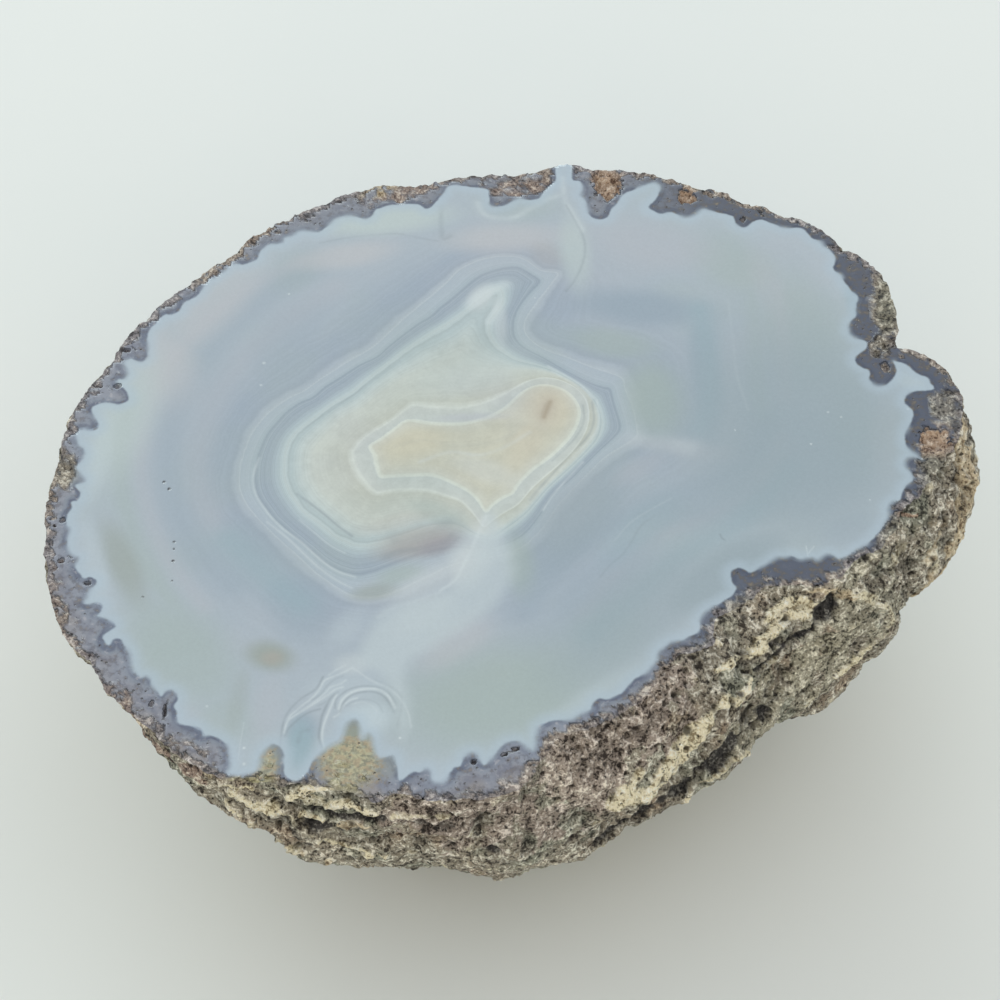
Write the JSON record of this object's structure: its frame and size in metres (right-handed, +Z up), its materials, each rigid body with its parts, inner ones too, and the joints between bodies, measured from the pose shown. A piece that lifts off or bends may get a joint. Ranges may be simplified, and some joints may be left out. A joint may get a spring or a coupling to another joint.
{
  "type": "agate half",
  "caption": "Natural agate nodule sawn in half, with a flat polished banded face above a rough domed rind, ground to a small flat spot to rest on.",
  "frame": {"origin": "middle of the footprint's box, at the surface that the stone rests on", "axes": "+Z up through the polished face; +X along the stone's longest side; -Y towards the side with the pale ledge"},
  "size_m": [0.1188, 0.1058, 0.046],
  "materials": {
    "banded_agate": "polished flat, blue-grey with pale bands",
    "rough_rind": "natural, rough and pitted, brown, grey and cream"
  },
  "bodies": {
    "root": {"agate_half": "banded_agate"}
  },
  "joints": []
}
